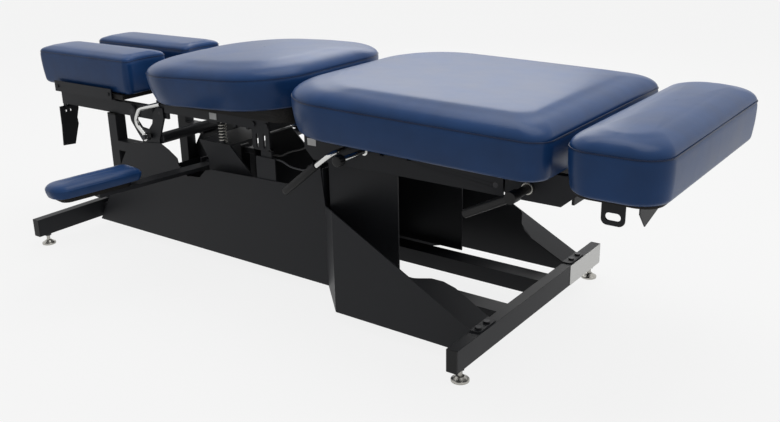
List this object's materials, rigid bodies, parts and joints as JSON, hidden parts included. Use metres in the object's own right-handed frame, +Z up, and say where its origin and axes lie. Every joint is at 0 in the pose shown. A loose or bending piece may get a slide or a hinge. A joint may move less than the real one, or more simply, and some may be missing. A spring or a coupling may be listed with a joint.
{
  "type": "chiropractic adjusting table",
  "caption": "Low adjusting table with padded head, chest, pelvic and foot sections, swing-up armrests, drop mechanisms, levers and levelling feet on a steel chassis.",
  "frame": {"origin": "on the floor, at the centre of the whole table's footprint", "axes": "+X along the table towards the foot end, +Y across it to the side away from the levers, +Z up"},
  "size_m": [1.926, 1.094, 0.5822],
  "materials": {
    "blue_vinyl": "stretched vinyl over foam, satin sheen",
    "black_steel": "fine black powder coat",
    "black_plastic": "moulded, matte",
    "bright_steel": "zinc plated steel",
    "chrome_bar": "bright chrome plating",
    "bare_plate": "bare brushed plate",
    "white_label": "bare white label",
    "rubber_pad": "black rubber",
    "black_board": "plywood stained black",
    "black_sheath": "smooth black sheath",
    "grey_sheath": "smooth grey sheath"
  },
  "bodies": {
    "base": {"head_crossbar": "black_steel", "foot_crossbar": "black_steel", "crossbar_caps": "black_plastic", "base_rails": "black_steel", "frame_fasteners": "bright_steel", "chassis_side_near": "black_steel", "chassis_side_far": "black_steel", "cross_plates": "black_steel", "id_plate": "bare_plate", "head_posts": "black_steel", "rest_pads": "rubber_pad", "yoke_plates": "black_steel", "pivot_pins": "bright_steel", "spring_pedestal": "black_steel", "drop_springs": "bright_steel", "latch_column": "black_steel", "black_cable": "black_sheath", "grey_cable": "grey_sheath", "pelvic_beams": "black_steel", "foot_bracket": "black_steel", "foot_lever_collar": "bright_steel", "armrest_cheeks": "black_steel", "head_lever_screw": "bright_steel"},
    "levelling_foot_head_near": {"levelling_foot_head_near": "bright_steel"},
    "levelling_foot_head_far": {"levelling_foot_head_far": "bright_steel"},
    "levelling_foot_foot_near": {"levelling_foot_foot_near": "bright_steel"},
    "levelling_foot_foot_far": {"levelling_foot_foot_far": "bright_steel"},
    "head_tilting_frame": {"head_frame": "black_steel"},
    "head_sliding_carriage": {"head_carriage": "black_steel", "head_boards": "black_board", "head_cushion_near": "blue_vinyl", "head_cushion_far": "blue_vinyl"},
    "release_paddle": {"release_paddle": "black_steel"},
    "head_lever": {"head_lever": "chrome_bar"},
    "chest_section": {"chest_frame": "black_steel", "chest_board": "black_board", "chest_cushion": "blue_vinyl", "chest_label": "white_label", "latch_hanger": "black_steel"},
    "pelvic_section": {"pelvic_frame": "black_steel", "pelvic_board": "black_board", "pelvic_cushion": "blue_vinyl", "pelvic_label": "white_label"},
    "cocking_lever": {"cocking_lever": "chrome_bar", "cocking_grip": "black_plastic"},
    "tension_knob": {"knob_shaft": "chrome_bar", "tension_knob": "black_plastic"},
    "foot_section": {"foot_runners": "black_steel", "foot_board": "black_board", "foot_cushion": "blue_vinyl", "roll_holders": "black_steel"},
    "foot_lever": {"foot_lever": "black_plastic"},
    "armrest_near": {"armrest_bar_near": "black_steel"},
    "armrest_far": {"armrest_bar_far": "black_steel"},
    "armrest_pad_near": {"armrest_board_near": "black_board", "armrest_pad_near": "blue_vinyl"},
    "armrest_pad_far": {"armrest_board_far": "black_board", "armrest_pad_far": "blue_vinyl"}
  },
  "joints": [
    {"name": "head_tilt", "type": "hinge", "parent": "base", "child": "head_tilting_frame", "pos_m": [-0.5905, 0, 0.388], "axis": [0, 1, 0], "range_deg": [0, 25]},
    {"name": "head_slide", "type": "slide", "parent": "head_tilting_frame", "child": "head_sliding_carriage", "axis": [1, 0, 0], "range_m": [-0.06, 0]},
    {"name": "paddle_swing", "type": "hinge", "parent": "head_tilting_frame", "child": "release_paddle", "pos_m": [-0.9195, -0.1285, 0.361], "axis": [0, 1, 0], "range_deg": [0, 15]},
    {"name": "head_lever_turn", "type": "hinge", "parent": "base", "child": "head_lever", "pos_m": [-0.5185, -0.162, 0.328], "axis": [0, 1, 0], "range_deg": [0, 15]},
    {"name": "chest_drop", "type": "hinge", "parent": "base", "child": "chest_section", "pos_m": [-0.4735, 0, 0.397], "axis": [0, 1, 0], "range_deg": [0, 1.8], "deforming": ["drop_springs"]},
    {"name": "pelvic_drop", "type": "hinge", "parent": "base", "child": "pelvic_section", "pos_m": [0.5765, 0, 0.376], "axis": [0, -1, 0], "range_deg": [0, 1.7]},
    {"name": "cocking_turn", "type": "hinge", "parent": "pelvic_section", "child": "cocking_lever", "pos_m": [0.1985, -0.2, 0.401], "axis": [0, -1, 0], "range_deg": [0, 25]},
    {"name": "tension_turn", "type": "hinge", "parent": "pelvic_section", "child": "tension_knob", "pos_m": [0.2465, -0.261, 0.401], "axis": [0, 1, 0], "continuous": true},
    {"name": "foot_slide", "type": "slide", "parent": "base", "child": "foot_section", "axis": [1, 0, 0], "range_m": [0, 0.06]},
    {"name": "foot_lever_turn", "type": "hinge", "parent": "base", "child": "foot_lever", "pos_m": [0.6515, -0.2, 0.383], "axis": [0, -1, 0], "range_deg": [0, 35]},
    {"name": "armrest_lift_near", "type": "hinge", "parent": "base", "child": "armrest_near", "pos_m": [-0.3545, -0.077, 0.255], "axis": [-1, 0, 0], "range_deg": [0, 20]},
    {"name": "pad_swivel_near", "type": "hinge", "parent": "armrest_near", "child": "armrest_pad_near", "pos_m": [-0.39821, -0.40529, 0.26], "axis": [0, 0, 1], "range_deg": [-30, 30]},
    {"name": "armrest_lift_far", "type": "hinge", "parent": "base", "child": "armrest_far", "pos_m": [-0.3545, 0.077, 0.255], "axis": [1, 0, 0], "range_deg": [0, 20]},
    {"name": "pad_swivel_far", "type": "hinge", "parent": "armrest_far", "child": "armrest_pad_far", "pos_m": [-0.39821, 0.40529, 0.26], "axis": [0, 0, 1], "range_deg": [-30, 30]},
    {"name": "levelling_screw_head_near", "type": "slide", "parent": "base", "child": "levelling_foot_head_near", "axis": [0, 0, -1], "range_m": [0, 0.012]},
    {"name": "levelling_screw_head_far", "type": "slide", "parent": "base", "child": "levelling_foot_head_far", "axis": [0, 0, -1], "range_m": [0, 0.012]},
    {"name": "levelling_screw_foot_near", "type": "slide", "parent": "base", "child": "levelling_foot_foot_near", "axis": [0, 0, -1], "range_m": [0, 0.012]},
    {"name": "levelling_screw_foot_far", "type": "slide", "parent": "base", "child": "levelling_foot_foot_far", "axis": [0, 0, -1], "range_m": [0, 0.012]}
  ]
}
